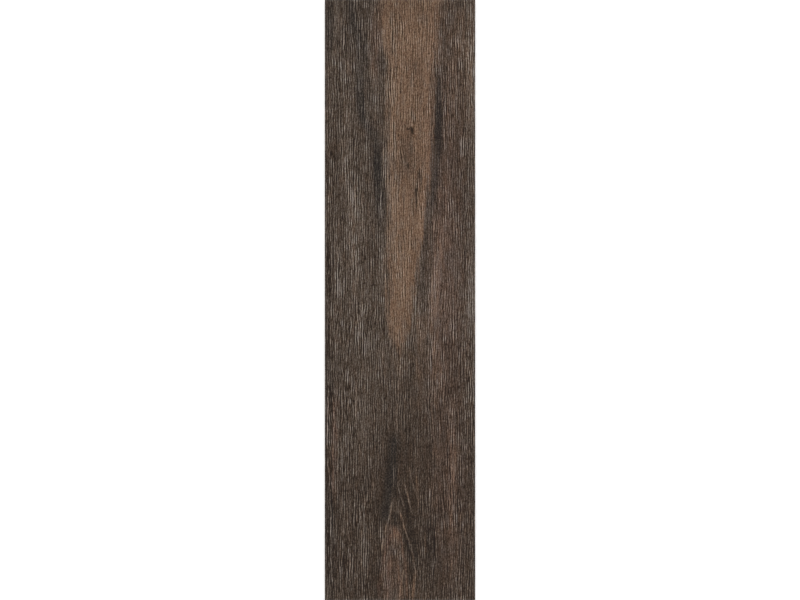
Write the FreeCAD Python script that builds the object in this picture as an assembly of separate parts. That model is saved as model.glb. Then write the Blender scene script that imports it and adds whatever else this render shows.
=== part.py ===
"""A rectified porcelain plank tile with a wood look face, lying face up. All sizes are in millimetres.

The origin is at the middle of the bed face. +X runs across the plank, +Y along it and +Z up through the wood face.
The plank is one fired piece: a flat slab with ground edges and a keyed back that the adhesive grips.
"""

import os

import FreeCAD
import Part

# The plank as it is sold
tile_width = 150.0
tile_length = 600.0
tile_thickness = 9.0

# The ground edges: a fine bevel round the wood face, and a finer one round the back
face_bevel = 0.6
back_bevel = 0.4

# The keyed back: a grid of ribs stands round shallow pockets, and a flat margin runs round the grid
back_margin = 10.0
rib_width = 4.5
pocket_pitch = 27.0
pocket_depth = 0.5
pocket_corner_radius = 4.0


def spaced(span, pitch):
    """How many pockets fill a span at about this pitch, and the exact pitch that fills it."""
    count = max(1, round((span + rib_width) / pitch))
    return count, (span + rib_width) / count


def slab():
    """The plain block with the bevels ground round its wood face and its back."""
    corner = FreeCAD.Vector(-tile_width / 2, -tile_length / 2, 0)
    middle_height = tile_thickness / 2
    block = Part.makeBox(tile_width, tile_length, tile_thickness, corner)
    block = block.makeChamfer(face_bevel, [e for e in block.Edges if e.BoundBox.ZMin > middle_height])
    return block.makeChamfer(back_bevel, [e for e in block.Edges if e.BoundBox.ZMax < middle_height])


def pocket(centre_x, centre_y, width, length):
    """The shallow round-cornered space that one pocket takes out of the back."""
    corner = FreeCAD.Vector(centre_x - width / 2, centre_y - length / 2, 0)
    block = Part.makeBox(width, length, pocket_depth, corner)
    upright = [e for e in block.Edges if e.BoundBox.ZLength > pocket_depth / 2]
    return block.makeFillet(pocket_corner_radius, upright)


def pockets():
    """Every pocket of the back, in rows that run along the plank."""
    across, pitch_x = spaced(tile_width - 2 * back_margin, pocket_pitch)
    along, pitch_y = spaced(tile_length - 2 * back_margin, pocket_pitch)
    made = []
    for column in range(across):
        for row in range(along):
            centre_x = (column - (across - 1) / 2) * pitch_x
            centre_y = (row - (along - 1) / 2) * pitch_y
            made.append(pocket(centre_x, centre_y, pitch_x - rib_width, pitch_y - rib_width))
    return made


def plank_tile():
    """The whole plank as one solid."""
    return slab().cut(Part.makeCompound(pockets()))


def main():
    """Writes the plank's one node and prints what it measures."""
    os.makedirs("parts", exist_ok=True)
    tile = plank_tile()
    tile.exportStep("parts/plank_tile.step")
    box = tile.BoundBox
    print("solids", len(tile.Solids), "valid", tile.isValid(), "volume_mm3", round(tile.Volume, 1))
    print("width", round(box.XLength, 3), "length", round(box.YLength, 3), "height", round(box.ZLength, 3))


main()
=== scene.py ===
"""The looks of a wood look porcelain plank tile, lying face up and seen from straight above.

Every length in the finishes is in millimetres, because a tile maker's print and moulds are drawn in them, and every
mesh is in metres. +X runs across the plank, +Y along it and +Z up through the wood face.
"""

import logging
import math
from dataclasses import dataclass, field
from enum import Enum
from typing import Any, Union

import bpy
import numpy as np
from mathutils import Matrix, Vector


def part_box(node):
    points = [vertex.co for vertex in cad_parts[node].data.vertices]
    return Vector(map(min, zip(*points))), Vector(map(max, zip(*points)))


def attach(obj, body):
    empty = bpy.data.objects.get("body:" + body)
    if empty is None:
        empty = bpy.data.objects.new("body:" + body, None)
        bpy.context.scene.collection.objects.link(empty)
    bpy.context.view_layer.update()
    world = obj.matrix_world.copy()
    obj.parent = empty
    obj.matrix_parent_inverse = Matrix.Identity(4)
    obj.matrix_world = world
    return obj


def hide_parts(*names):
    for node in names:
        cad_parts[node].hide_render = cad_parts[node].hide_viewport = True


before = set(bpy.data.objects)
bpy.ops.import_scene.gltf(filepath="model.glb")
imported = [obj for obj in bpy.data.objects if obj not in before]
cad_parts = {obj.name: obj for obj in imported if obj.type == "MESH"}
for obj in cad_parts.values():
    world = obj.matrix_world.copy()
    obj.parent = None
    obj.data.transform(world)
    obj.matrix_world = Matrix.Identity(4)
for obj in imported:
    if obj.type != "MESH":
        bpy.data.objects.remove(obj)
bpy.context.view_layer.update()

MILLIMETRE = 0.001
BODY = "root"
CAD_NODE = "plank_tile"
BAKE_MAP = "OFBake"

log = logging.getLogger("plank")

Socket = bpy.types.NodeSocket
Tree = bpy.types.NodeTree
Point = tuple[float, float]
Triple = tuple[float, float, float]


class Kind(str, Enum):
    """The kinds of node that the finishes and the mesh are built from."""

    MATH = "ShaderNodeMath"
    VECTOR = "ShaderNodeVectorMath"
    RANGE = "ShaderNodeMapRange"
    NOISE = "ShaderNodeTexNoise"
    CELLS = "ShaderNodeTexVoronoi"
    ROWS = "ShaderNodeTexGabor"
    CURVE = "ShaderNodeFloatCurve"
    RAMP = "ShaderNodeValToRGB"
    MIX = "ShaderNodeMix"
    JOIN_AXES = "ShaderNodeCombineXYZ"
    SPLIT_AXES = "ShaderNodeSeparateXYZ"
    MAPPING = "ShaderNodeMapping"
    COORDINATE = "ShaderNodeTexCoord"
    BUMP = "ShaderNodeBump"
    SURFACE = "ShaderNodeBsdfPrincipled"
    OUTPUT = "ShaderNodeOutputMaterial"
    POSITION = "GeometryNodeInputPosition"


def linear(colour: str) -> tuple[float, float, float, float]:
    """Turns an sRGB hex colour into the linear one that Blender mixes.

    Args:
        colour: Six hex digits after a hash, such as "#4f453d".

    Returns:
        Linear red, green and blue, and an alpha of 1.
    """
    steps = [int(colour[at:at + 2], 16) / 255 for at in (1, 3, 5)]
    red, green, blue = (s / 12.92 if s <= 0.04045 else ((s + 0.055) / 1.055) ** 2.4 for s in steps)
    return red, green, blue, 1.0


def grey(colour: str) -> float:
    """The mean of a hex colour's three parts, from 0 to 255."""
    return sum(int(colour[at:at + 2], 16) for at in (1, 3, 5)) / 3


def add(tree: Tree, kind: str, links: Union[dict, tuple] = (), **settings: Any) -> Socket:
    """Adds a node with its settings and links.

    Args:
        tree: The node tree that the node goes in.
        kind: The node's type, a Kind or Blender's own name for one.
        links: What goes in each input, a socket or a plain value: in order, or by the input's name or place.
        settings: The node's own settings, such as operation.

    Returns:
        The node's first output, or its first input where it has no output.
    """
    node = tree.nodes.new(str(kind.value if isinstance(kind, Kind) else kind))
    for name, value in settings.items():
        setattr(node, name, value)
    pairs = links.items() if isinstance(links, dict) else enumerate(links)
    for key, value in pairs:
        if isinstance(value, bpy.types.NodeSocket):
            tree.links.new(value, node.inputs[key])
        else:
            node.inputs[key].default_value = value
    return node.outputs[0] if node.outputs else node.inputs[0]


@dataclass(frozen=True)
class Lines:
    """One set of fine lines along the grain, which run in short patches.

    Attributes:
        pitch: From one line to the next.
        patch_width: How far across the plank a patch reaches.
        patch_length: How far along the plank a patch reaches.
        weight: Its share of the whole grain.
    """

    pitch: float
    patch_width: float
    patch_length: float
    weight: float


@dataclass(frozen=True)
class Grain:
    """The fine grain that the print and the mould share, so that each printed line lies in its own groove.

    Real pores are 0.2 to 0.4 mm across. They are drawn about 1 mm across, so that they show.
    """

    sway_width: float = 46.0
    sway_length: float = 150.0
    sway: float = 4.0
    wander_width: float = 6.0
    wander_length: float = 16.0
    wander: float = 1.5
    straightness: float = 0.88
    lines: tuple[Lines, ...] = (Lines(2.12, 5.0, 30.0, 1.6), Lines(2.04, 3.8, 9.0, 1.55),
                                Lines(2.8, 5.0, 18.0, 0.75))
    strands: tuple[tuple[float, float, float], ...] = ((1.5, 22.0, 0.4), (1.0, 5.0, 0.5))
    strand_slant: Triple = (0.0, 0.6, 0.8)
    speckle_size: Point = (0.75, 1.25)
    speckle_slant: Triple = (0.42, 0.84, 0.72)
    tint_size: Point = (3.0, 16.0)
    pore_width: float = 0.24
    knot: Point = (12.0, 169.4)
    knot_reach: Point = (9.0, 17.0)
    knot_push: float = 0.55

    def warped(self, tree: Tree, place: Socket) -> Socket:
        """Bends the straight grain a little from side to side, and round the knot.

        Args:
            tree: The tree that the nodes go in.
            place: The point on the face, in millimetres.

        Returns:
            The point moved across the grain, where the straight pattern is then read.
        """
        slow = add(tree, Kind.VECTOR, (place, (1 / self.sway_width, 1 / self.sway_length, 0.0)),
                   operation="MULTIPLY")
        sway = add(tree, Kind.NOISE, {"Vector": slow, "Scale": 1.0, "Detail": 1.0}, noise_dimensions="2D")
        quick = add(tree, Kind.VECTOR, (place, (1 / self.wander_width, 1 / self.wander_length, 0.0), (7.3, 2.9, 0.0)),
                    operation="MULTIPLY_ADD")
        wander = add(tree, Kind.NOISE, {"Vector": quick, "Scale": 1.0, "Detail": 1.0}, noise_dimensions="2D")
        both = add(tree, Kind.MATH, (sway, self.sway, -(self.sway + self.wander) / 2), operation="MULTIPLY_ADD")
        both = add(tree, Kind.MATH, (wander, self.wander, both), operation="MULTIPLY_ADD")
        aside = add(tree, Kind.JOIN_AXES, (both, 0.0, 0.0))
        moved = add(tree, Kind.VECTOR, (place, aside), operation="ADD")
        from_knot = add(tree, Kind.VECTOR, (place, (*self.knot, 0.0)), operation="SUBTRACT")
        flat = add(tree, Kind.VECTOR, (from_knot, (1 / self.knot_reach[0], 1 / self.knot_reach[1], 0.0)),
                   operation="MULTIPLY")
        far = add(tree, Kind.VECTOR, (flat,), operation="LENGTH").node.outputs["Value"]
        pull = add(tree, Kind.RANGE, {0: far, 1: 0.0, 2: 1.0, 3: -self.knot_push, 4: 0.0},
                   interpolation_type="SMOOTHERSTEP")
        across = add(tree, Kind.VECTOR, (from_knot, (1.0, 0.0, 0.0)), operation="MULTIPLY")
        pulled = add(tree, Kind.VECTOR, {0: across, 3: pull}, operation="SCALE")
        return add(tree, Kind.VECTOR, (moved, pulled), operation="ADD")

    def fibres(self, tree: Tree, straight: Socket) -> Socket:
        """Fine lines of several lengths, laid over each other.

        Args:
            tree: The tree that the nodes go in.
            straight: The warped point, in millimetres.

        Returns:
            A value about 0, higher on a proud fibre and lower between two, and seldom past 1 either way.
        """
        total: Union[Socket, float] = -sum(line.weight for line in self.lines)
        for number, (width, length, weight) in enumerate(self.strands):
            thin = add(tree, Kind.VECTOR, (straight, (1 / width, 1 / length, 0.0), (number * 13.7, number * 5.3, 0.0)),
                       operation="MULTIPLY_ADD")
            slanting = add(tree, Kind.VECTOR, (thin, self.strand_slant), operation="CROSS_PRODUCT")
            strand = add(tree, Kind.NOISE, {"Vector": slanting, "Scale": 1.0, "Detail": 0.0}, noise_dimensions="3D")
            total = add(tree, Kind.MATH, (strand, 2 * weight, total), operation="MULTIPLY_ADD")
            total = add(tree, Kind.MATH, (total, weight), operation="SUBTRACT")
        for number, line in enumerate(self.lines):
            patch = (1 / line.patch_width, 1 / line.patch_length, 0.0)
            spot = add(tree, Kind.VECTOR, (straight, patch, (number * 9.1, number * 3.7, 0.0)), operation="MULTIPLY_ADD")
            row = add(tree, Kind.ROWS, {"Vector": spot, "Scale": 1.0, "Frequency": line.patch_width / line.pitch,
                                        "Anisotropy": self.straightness, "Orientation": 0.0}, gabor_type="2D")
            total = add(tree, Kind.MATH, (row, 2 * line.weight, total), operation="MULTIPLY_ADD")
        return total

    def speckle(self, tree: Tree, place: Socket) -> Socket:
        """The fine mottle that the print's dots leave, in short dashes along the grain.

        Args:
            tree: The tree that the nodes go in.
            place: The point on the face, in millimetres.

        Returns:
            A value about 0, read on a slanting plane, so that no rows of the pattern line up with the plank.
        """
        dashes = add(tree, Kind.VECTOR, (place, (1 / self.speckle_size[0], 1 / self.speckle_size[1], 0.0)),
                     operation="MULTIPLY")
        slanting = add(tree, Kind.VECTOR, (dashes, self.speckle_slant), operation="CROSS_PRODUCT")
        dots = add(tree, Kind.NOISE, {"Vector": slanting, "Scale": 1.0, "Detail": 0.0}, noise_dimensions="3D")
        return add(tree, Kind.MATH, (dots, 2.0, -1.0), operation="MULTIPLY_ADD")

    def mottle(self, tree: Tree, place: Socket, size: Point) -> Socket:
        """A soft mottle between the lines.

        Args:
            tree: The tree that the nodes go in.
            place: The point on the face, in millimetres.
            size: How large its patches are, across and along.

        Returns:
            A value about 0.
        """
        fine = add(tree, Kind.VECTOR, (place, (1 / size[0], 1 / size[1], 0.0)), operation="MULTIPLY")
        patches = add(tree, Kind.NOISE, {"Vector": fine, "Scale": 1.0, "Detail": 0.0}, noise_dimensions="2D")
        return add(tree, Kind.MATH, (patches, 2.0, -1.0), operation="MULTIPLY_ADD")

    def pores(self, tree: Tree, straight: Socket, pitch: Point, offset: Point) -> Socket:
        """Pores cut open along the grain, each a thin dash with tapering ends.

        Args:
            tree: The tree that the nodes go in.
            straight: The warped point, in millimetres.
            pitch: From one pore to the next, across and along.
            offset: Moves the whole scatter, in pores, so that two scatters differ.

        Returns:
            1 on a pore's middle line and 0 between pores, with each pore of its own strength.
        """
        dashes = add(tree, Kind.VECTOR, (straight, (1 / pitch[0], 1 / pitch[1], 0.0), (*offset, 0.0)),
                     operation="MULTIPLY_ADD")
        cell = add(tree, Kind.CELLS, {"Vector": dashes, "Scale": 1.0}, voronoi_dimensions="2D")
        dash = add(tree, Kind.RANGE, {0: cell, 1: self.pore_width, 2: self.pore_width * 0.3, 3: 0.0, 4: 1.0},
                   interpolation_type="SMOOTHSTEP")
        strength = add(tree, Kind.SPLIT_AXES, (cell.node.outputs["Color"],))
        return add(tree, Kind.MATH, (dash, strength), operation="MULTIPLY")


@dataclass(frozen=True)
class Streak:
    """One soft spindle of darker or lighter wood in the print.

    Attributes:
        x: Where its middle lies across the plank.
        y: Where its middle lies along the plank.
        half_width: From its middle line to where it has faded out.
        half_length: From its middle to where its tip has faded out.
        tone: How much lighter it makes the wood, in steps of 255, or darker below 0.
        warmth: Turns the wood towards the warm heart above 0, and towards charcoal below 0.
        lean: Degrees that its top leans to the left.
        liming: How much stronger it makes the fine lines, or fainter below 0, as a share.
        blush: How far it turns the wood rosy.
    """

    x: float
    y: float
    half_width: float
    half_length: float
    tone: float
    warmth: float = 0.0
    lean: float = 0.0
    liming: float = 0.0
    blush: float = 0.0


@dataclass(frozen=True)
class Vein:
    """One band or thin line of the print that follows a bent path.

    Attributes:
        path: Places along and across the plank that it passes.
        half_width: From its middle line to where it has faded out.
        tone: How much lighter it makes the wood, in steps of 255, or darker below 0.
        warmth: Turns the wood towards the warm heart above 0, and towards charcoal below 0.
        liming: How much stronger it makes the fine lines, or fainter below 0, as a share.
        blush: How far it turns the wood rosy.
        fade: How far from its middle its ends start to fade, as a share of the way.
    """

    path: tuple[Point, ...]
    half_width: float
    tone: float
    warmth: float = 0.0
    liming: float = 0.0
    blush: float = 0.0
    fade: float = 0.65


# The streaks of the board that the print shows, from the end with the pale heart to the other
BOARD_STREAKS = (
    Streak(-70, 275, 9, 50, -9, -0.5),
    Streak(-61, 284, 4, 26, 4),
    Streak(-48, 284, 8, 40, -9, -0.5),
    Streak(-20, 78, 5, 36, -6, -0.2),
    Streak(-22, 287, 5, 24, -9),
    Streak(-17, 238, 9, 22, -8, -0.3),
    Streak(-30, 229, 5, 24, 6, 0.15),
    Streak(-70, 205, 8, 50, 4),
    Streak(-54, 190, 8, 40, 4),
    Streak(-69, 138, 8, 38, -13),
    Streak(-46, 86, 9, 34, 6, 0.15),
    Streak(-37, 80, 8, 40, 7),
    Streak(-30, 52, 6, 34, -6),
    Streak(-71, 42, 8, 44, -11, -0.1),
    Streak(-72, -165, 6, 50, -8),
    Streak(-22, 44, 5, 26, 4),
    Streak(-13, 268, 7, 30, 7, 0.1),
    Streak(9, 266, 13, 50, 4, 0.5),
    Streak(7, 274, 4, 22, 4, 0.6),
    Streak(13, 234, 7, 20, -7, -0.1),
    Streak(2, 222, 5, 42, 6, 0.1),
    Streak(-10, 140, 7, 130, 4, -0.2),
    Streak(12, 163, 8, 24, -4),
    Streak(9, 140, 8, 34, -5, -0.1),
    Streak(-5, 90, 13, 110, 0, -0.14),
    Streak(8, -60, 10, 30, -4, 0.15),
    Streak(37, -76, 6, 20, -8),
    Streak(52, -45, 6, 22, -7),
    Streak(38, -175, 7, 70, 3),
    Streak(-22, -105, 20, 90, 0, 0.0, 0, -0.1),
    Streak(-36, 196, 6, 24, -5),
    Streak(-53, 256, 6, 24, -6),
    Streak(40, 90, 50, 240, 0, 0.0, 0, -0.12),
    Streak(40, -200, 50, 160, 0, 0.0, 0, -0.13),
    Streak(-72, -100, 7, 40, -6),
    Streak(22, 72, 6, 30, 10, 0.3),
    Streak(20, -32, 8, 34, 9, 0.4),
    Streak(38, 75, 7, 24, 6, 0.2),
    Streak(38, -14, 8, 24, 4),
    Streak(37, 140, 5, 30, 4),
    Streak(37, -148, 7, 44, 6, 0.15),
    Streak(70, 278, 8, 40, 8, 0.1),
    Streak(-72, 28, 7, 46, -9),
    Streak(71, 110, 8, 180, 5),
    Streak(20, 225, 8, 90, -3),
    Streak(-8, 272, 8, 38, -4, -0.1),
    Streak(37, 20, 7, 60, 5),
    Streak(22, 85, 6, 34, 3),
    Streak(-23, 256, 6, 22, 6),
    Streak(22, 257, 6, 24, 5),
    Streak(-38, -165, 6, 60, 3),
    Streak(-9, 134, 5, 30, -6),
    Streak(-9, 42, 5, 30, -6),
    Streak(53, -166, 7, 28, 7),
    Streak(-38, 257, 6, 28, -8),
    Streak(-45, 106, 10, 26, 6),
    Streak(-38, -225, 6, 26, 7),
    Streak(-39, -15, 6, 28, 5),
    Streak(-24, -16, 6, 26, -7),
    Streak(-69, -150, 6, 40, -2),
    Streak(-24, 224, 6, 22, 6, 0.2),
    Streak(-53, 75, 6, 30, 6),
    Streak(-53, -225, 7, 34, 5),
    Streak(53, -160, 6, 40, 5, 0.1),
    Streak(17, 110, 5, 40, -8, -0.3, -11),
    Streak(9, 96, 4, 24, 4, 0.35),
    Streak(8, 34, 6, 28, 5, 0.35),
    Streak(-4, 100, 6, 60, 4, 0.1),
    Streak(38.5, 178, 6, 56, -10, -0.2),
    Streak(-21.5, 120, 7, 50, -6, -0.3),
    Streak(54, 30, 9, 90, 4),
    Streak(23, 195, 6, 30, -6),
    Streak(14, -198, 12, 34, -5, -0.1),
    Streak(-37, 195, 10, 34, -6, -0.3),
    Streak(39, 246, 5, 30, 5, 0.2),
    Streak(61, 262, 5, 44, 7, 0.2),
    Streak(70, 250, 7, 60, 11, 0.2),
    Streak(70, 202, 9, 50, 12, 0.1),
    Streak(60, 240, 26, 130, 2, 0.25),
    Streak(46, 40, 34, 400, 0, 0.25, 0, 0.0, 0.8),
    Streak(52, -220, 30, 130, 0, 0.1, 0, 0.0, 0.4),
    Streak(75, 228, 6, 14, 18, -0.5),
    Streak(58, 146, 5, 40, -6),
    Streak(66, 98, 7, 44, -4, -0.2),
    Streak(46, 106, 7, 36, 6, 0.15),
    Streak(71, 6, 10, 54, 14, -0.2),
    Streak(19, -78, 7, 50, 4, 0.4),
    Streak(0, -50, 10, 34, 10, 0.5),
    Streak(-1, -84, 4, 36, 6, 0.15),
    Streak(-36, -100, 14, 70, 5),
    Streak(-16, -60, 6, 44, 5, 0.1),
    Streak(-71, -215, 7, 50, -6, -0.4),
    Streak(-72, -60, 8, 120, -12, -0.2),
    Streak(-70, -265, 9, 60, -6, -0.2),
    Streak(30, -240, 9, 44, -7, -0.4),
    Streak(34, -266, 14, 34, -4, -0.1),
    Streak(-23, -222, 6, 34, -12, -0.1),
    Streak(-26, -275, 8, 40, -6),
    Streak(4, -155, 30, 100, -3, 0.0, 0, -0.5),
    Streak(17, -168, 4, 50, 4, 0.2),
    Streak(6, -220, 75, 150, 0, 0.1),
    Streak(-23, 255, 9, 60, 2, 0.35, 0, 0.0, 0.6),
    Streak(2, -205, 22, 44, 0, 0.0, 0, -0.45),
    Streak(-7, -250.5, 2.4, 5, -18, -0.3),
    Streak(-50, 60, 36, 170, 0, 0.0, 0, 0.16),
    Streak(-48, 90, 26, 44, 0, 0.0, 0, 0.35),
    Streak(-56, -80, 24, 120, 2, 0.0, 0, 0.22),
    Streak(-23, -268, 11, 46, -2, 0.0, 0, -0.5),
    Streak(22, -155, 9, 54, 0, 0.0, 0, -0.35),
    Streak(-7, 10, 9, 80, 0, 0.0, 0, -0.25),
    Streak(38, 196, 9, 24, 0, 0.0, 0, -0.3),
    Streak(-50, 240, 34, 90, 0, 0.0, 0, 0.3),
    Streak(-54, -205, 18, 130, 0, 0.0, 0, 0.36),
    Streak(60, 230, 24, 80, 0, 0.0, 0, 0.2),
    Streak(12.0, 169.0, 2.55, 5.4, -68, -0.7, 14, -0.6),
    Streak(7.8, 170.2, 2.55, 1.7, -42, -0.3),
    Streak(7.8, 163, 1.5, 4.5, -20, -0.2),
    Streak(5, 173.5, 1.4, 3.6, -28, -0.2, 20),
    Streak(19, 127, 1.5, 11, -17, -0.2),
    Streak(16.2, 106, 1.3, 13, -12, -0.2),
    Streak(11.5, 149, 1.4, 7, -12, -0.1),
    Streak(0.6, 160, 1.2, 6, -16, -0.1),
    Streak(-14, 160, 1.2, 6, -14, -0.1),
    Streak(15.4, 181, 1.2, 6, -28, -0.2),
    Streak(8.2, 134, 2.0, 4.5, -28, -0.4),
    Streak(-7, 261, 1.4, 5, -26, -0.2),
    Streak(-17, 267, 2.5, 6, 30, -0.1),
    Streak(-25, 218, 3, 3.5, 16, -0.2),
    Streak(56, 197, 4, 4, 14, -0.2),
    Streak(-71, -75, 8, 130, -6.5),
    Streak(4, 134, 22, 34, -5, -0.2),
    Streak(-9, 224, 6, 16, -9),
    Streak(67, 136, 6, 22, -5),
    Streak(7, -288, 12, 24, 2, 0.4),
    Streak(52, 44, 8, 30, 0, -0.3),
    Streak(10, -196, 12, 24, -4),
    Streak(-24, 136, 6, 24, -7, -0.3),
    Streak(-55, 252, 10, 40, -4),
    Streak(52, -180, 7, 34, 5),
    Streak(30, 88, 10, 34, 4),
    Streak(-6, -258, 13, 50, -1, 0.1, 0, -0.4),
    Streak(72.5, 228, 2.5, 3.5, 34, -0.2),
    Streak(38, -14, 7, 26, 5),
    Streak(52, 163, 7, 26, 4),
    Streak(-39, -45, 6, 24, -4),
)

# The bands that wind down the board: dark and light ones left of the heart, beside it, and towards the cathedral
BOARD_BANDS = (
    Vein(((300, -44), (275, -43), (250, -38), (225, -39), (200, -40), (180, -36), (165, -27), (150, -23), (125, -21.5),
          (100, -21), (72, -20)), 9.0, -8.5, -0.5, 0.05),
    Vein(((240, 40), (200, 39), (175, 38), (150, 37.5), (125, 35), (105, 32), (80, 28.5)), 6.5, -11, -0.8),
    Vein(((115, 33.5), (85, 29.5), (60, 25), (40, 22.5), (25, 23), (-10, 25)), 6.0, -6, -0.3),
    Vein(((-126, -4), (-145, -7), (-165, -8.5), (-185, -10), (-200, -12), (-212, -14), (-228, -17)), 8.4, -11, -0.9,
         -0.65),
    Vein(((-186, 1), (-205, 6.5), (-220, 10), (-235, 12.5), (-250, 15), (-275, 19)), 7.0, -14, -0.4, -0.2),
    Vein(((250, -48), (210, -49), (165, -54), (130, -53), (100, -49), (80, -46), (60, -46), (30, -45), (0, -44),
          (-35, -43)), 7.0, 10, 0.1),
    Vein(((-50, -38), (-85, -37), (-110, -36), (-130, -34), (-145, -36), (-165, -40), (-195, -40)), 7.0, 8),
    Vein(((-200, -38), (-235, -38), (-265, -37), (-298, -38)), 6.0, 7),
    Vein(((-222, -6.5), (-232, -8), (-242, -10), (-262, -11), (-330, -11.5)), 8.4, 13.5, 0.17, 0.0, 0.4, 0.93),
    Vein(((-222, -5.5), (-232, -4), (-245, -3), (-262, -2), (-330, -1)), 8.0, 13.5, 0.17, 0.0, 0.4, 0.93),
    Vein(((-90, -66), (-120, -65), (-150, -64.5), (-180, -66), (-205, -67)), 5.0, 12, 0.35, 0.0, 0.8),
    Vein(((-90, 52), (-130, 51), (-160, 53), (-190, 52), (-230, 51), (-260, 52), (-298, 52)), 6.5, 14, 0.25),
    Vein(((92, 45), (50, 40), (25, 36), (0, 33), (-20, 31), (-45, 35), (-75, 37), (-115, 37)), 10.0, 17, 0.25),
    Vein(((175, -10), (100, -8), (50, -5), (-10, -4)), 6.0, 5),
    Vein(((285, 32), (250, 30), (225, 26), (200, 24), (175, 25), (150, 26), (125, 27), (100, 24)), 5.0, 7),
)

# The thin lines of the cathedral, and of the brown wood inside it
BOARD_VEINS = (
    Vein(((-199, -7.4), (-209, -9.2), (-217, -11.1), (-226, -13.9), (-236, -16), (-250, -17.6)), 1.9, 36, 0.35, -0.2, 0.0, 0.85),
    Vein(((-206, -3), (-217, 1.7), (-224, 3.3), (-232, 6.1), (-240, 8.9), (-247, 11.1), (-257, 13.3), (-266, 15),
          (-276, 17)), 1.3, 28, 0.35, 0.0, 0.0, 0.8),
    Vein(((-204, -1.6), (-209, -0.6), (-217, 1.7), (-224, 3.3), (-232, 6.1)), 1.6, 12, 0.2),
    Vein(((-206, -5.4), (-217, -0.9), (-224, 0.8), (-232, 3.4), (-240, 6.4), (-247, 8.6), (-257, 11), (-270, 13)),
         1.6, -14, -0.2, -0.2),
    Vein(((-178, 3), (-183, 4.4), (-192, 7.2), (-201, 9.4), (-207, 10.6), (-213, 11.6)), 1.25, 34, 0.35),
    Vein(((-163, 8.6), (-176, 11), (-186, 13.6), (-192, 15.4), (-200, 17)), 1.2, 26, 0.3),
    Vein(((-172, 16.2), (-182, 16.6), (-196, 17.6), (-210, 18.6)), 1.6, 26, 0.45),
    Vein(((-180, -3), (-188, -1.1), (-196, 1.1), (-203, 3), (-214, 4.6)), 1.2, 27, 0.0),
    Vein(((-185, 3), (-191, 5.8), (-199, 8.4), (-206, 9.4)), 1.2, 26, 0.3),
    Vein(((-196, -7), (-200, -6), (-207, -4)), 2.6, 7, 0.3),
    Vein(((-192, -2.6), (-223, -3.3)), 1.6, 16, 0.0),
    Vein(((-228, -4), (-234, -0.5), (-240, 1.4), (-250, 2.6), (-258, 4.2), (-272, 6), (-300, 7)), 1.9, 13, 0.35, 0.0, 0.6,
         0.9),
    Vein(((-230, -8.5), (-238, -11), (-250, -14), (-264, -17.5), (-282, -20), (-300, -21)), 3.4, 8, 0.3, 0.0, 0.7, 0.8),
    Vein(((-252, -9), (-275, -12), (-300, -14)), 3.4, 8, 0.2, 0.0, 0.5),
    Vein(((-266, 3.4), (-272, 2.6), (-278, 1.8), (-290, 0), (-308, -1.8)), 1.9, 24, 0.4, 0.0, 0.0, 0.8),
    Vein(((-266, 15.6), (-276, 14.6), (-284, 13.8), (-295, 13), (-325, 12.5)), 3.4, 18, 0.55, 0.0),
    Vein(((-236, 5), (-250, 8), (-266, 10.4), (-284, 11.4)), 2.4, -12, -0.2, -0.2, 0.0, 0.8),
    Vein(((-229, -9), (-236, -11.6), (-244, -13.4), (-252, -15)), 1.6, -12, -0.2),
    Vein(((-227, -6.2), (-234, -5), (-240, -4.2)), 1.3, 14, 0.3),
    Vein(((-231, -3), (-238, -1.4), (-246, -0.4)), 1.3, 16, 0.3),
    Vein(((-262, -2), (-272, -1.2), (-284, -3)), 1.8, 12, 0.5),
    Vein(((-210, -5.5), (-218, -5), (-228, -4)), 3.8, -16, -0.3, -0.2),
    Vein(((-229, 24.6), (-236, 24.8), (-248, 25.4), (-254, 25.6)), 1.5, 20, 0.4),
    Vein(((-60, 2), (-90, -2), (-150, -3)), 1.9, 19, 0.2),
    Vein(((134, 19), (110, 16), (95, 15), (78, 13)), 2.4, -11, -0.1),
)


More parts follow.
